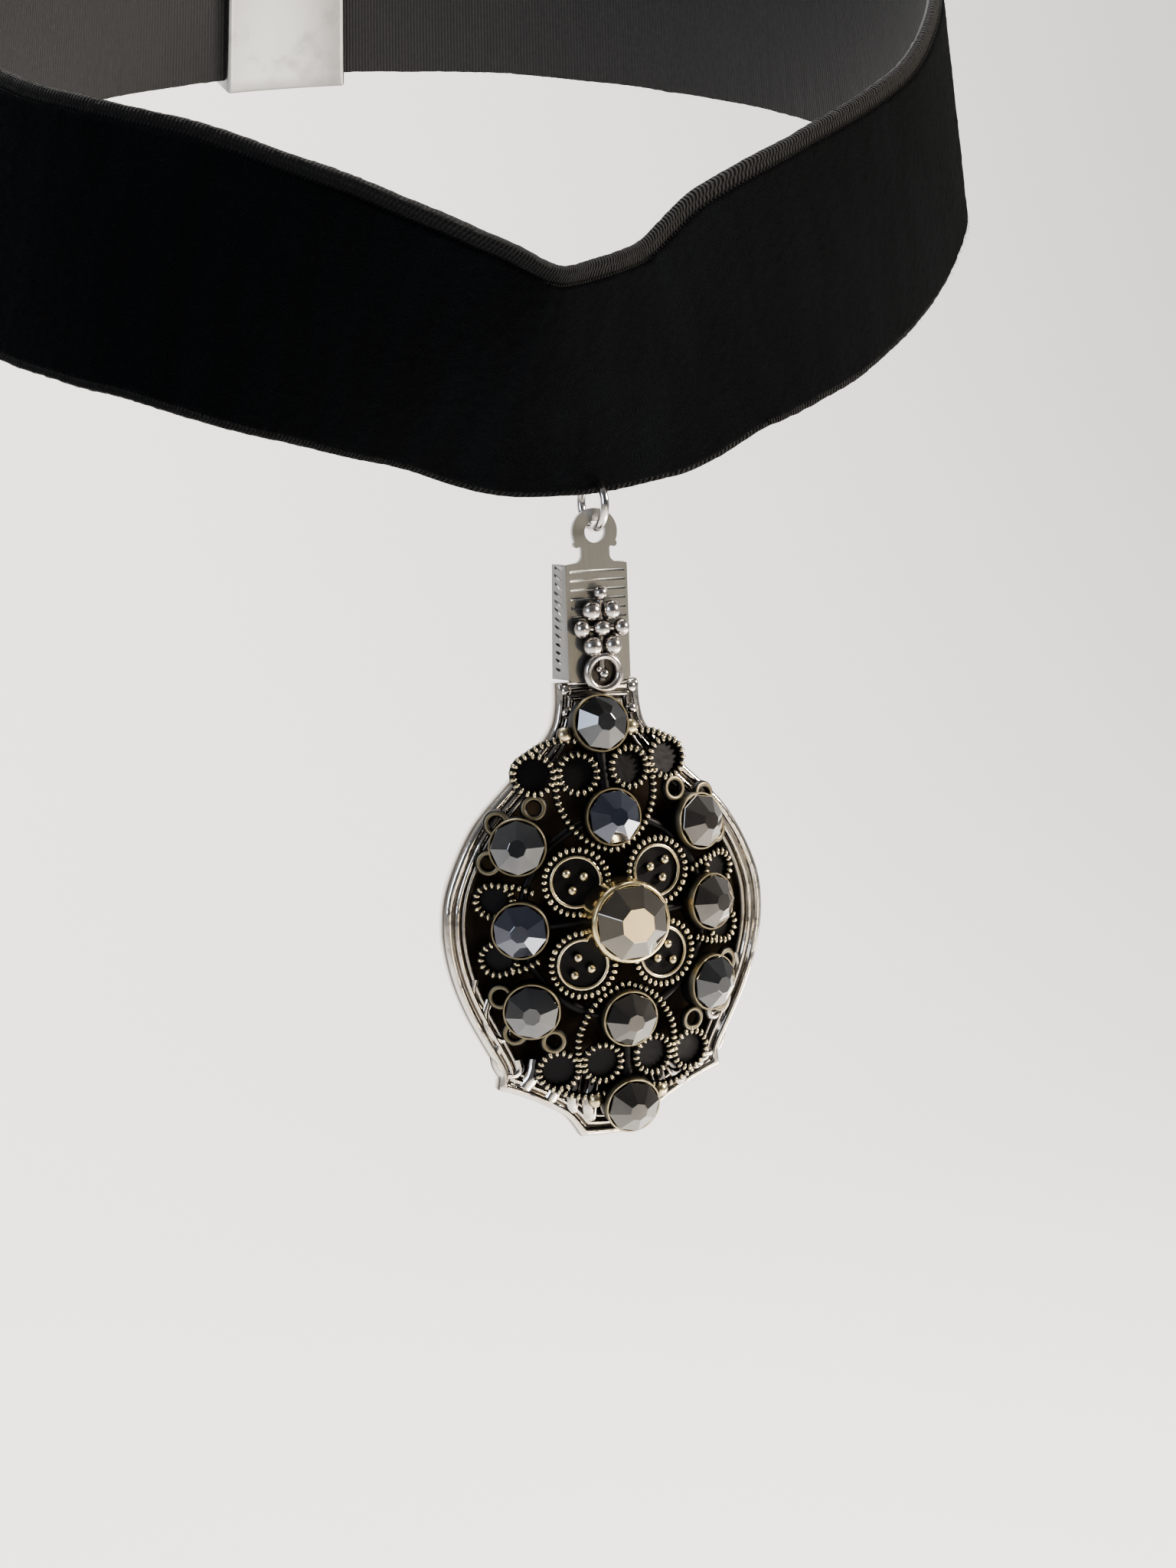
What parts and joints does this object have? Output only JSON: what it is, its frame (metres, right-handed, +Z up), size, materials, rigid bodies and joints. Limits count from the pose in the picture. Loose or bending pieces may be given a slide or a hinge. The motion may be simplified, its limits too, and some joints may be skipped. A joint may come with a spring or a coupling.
{
  "type": "choker necklace",
  "caption": "Velvet ribbon choker with a back clasp and a silver pendant of domed filigree set with faceted dark stones, hung on a jump ring.",
  "frame": {"origin": "middle of the neck opening, where the choker sits on a neck", "axes": "+Z up, the pendant at the front faces -Y, +X to the viewer's right"},
  "size_m": [0.1112, 0.1149, 0.1302],
  "materials": {
    "velvet": "deep black velvet pile with a grey woven selvedge",
    "polished_silver": "polished silver plate with dark crevices",
    "brushed_silver": "brushed aged silver with bright engraved grooves",
    "oxidised_brass": "black oxidised casting with pale gold highlights on its beads",
    "hematite_crystal": "mirror bright black diamond crystal"
  },
  "bodies": {
    "choker": {"ribbon": "velvet", "clasp": "polished_silver"},
    "ring": {"jump_ring": "polished_silver"},
    "pendant": {"hanger_tab": "brushed_silver", "backing_plate": "polished_silver", "granule_cluster": "polished_silver", "filigree": "oxidised_brass", "stone_centre": "hematite_crystal", "stone_top": "hematite_crystal", "stone_upper": "hematite_crystal", "stone_upper_left": "hematite_crystal", "stone_upper_right": "hematite_crystal", "stone_left": "hematite_crystal", "stone_right": "hematite_crystal", "stone_lower_left": "hematite_crystal", "stone_lower_right": "hematite_crystal", "stone_lower": "hematite_crystal", "stone_bottom": "hematite_crystal"}
  },
  "joints": [
    {"name": "ring_swing", "type": "hinge", "parent": "choker", "child": "ring", "pos_m": [0.00161, -0.04569, -0.02828], "axis": [0, 1, 0], "range_deg": [-30, 30]},
    {"name": "pendant_swing", "type": "hinge", "parent": "ring", "child": "pendant", "pos_m": [0.00161, -0.04509, -0.03269], "axis": [1, 0, 0], "range_deg": [-25, 25]}
  ]
}
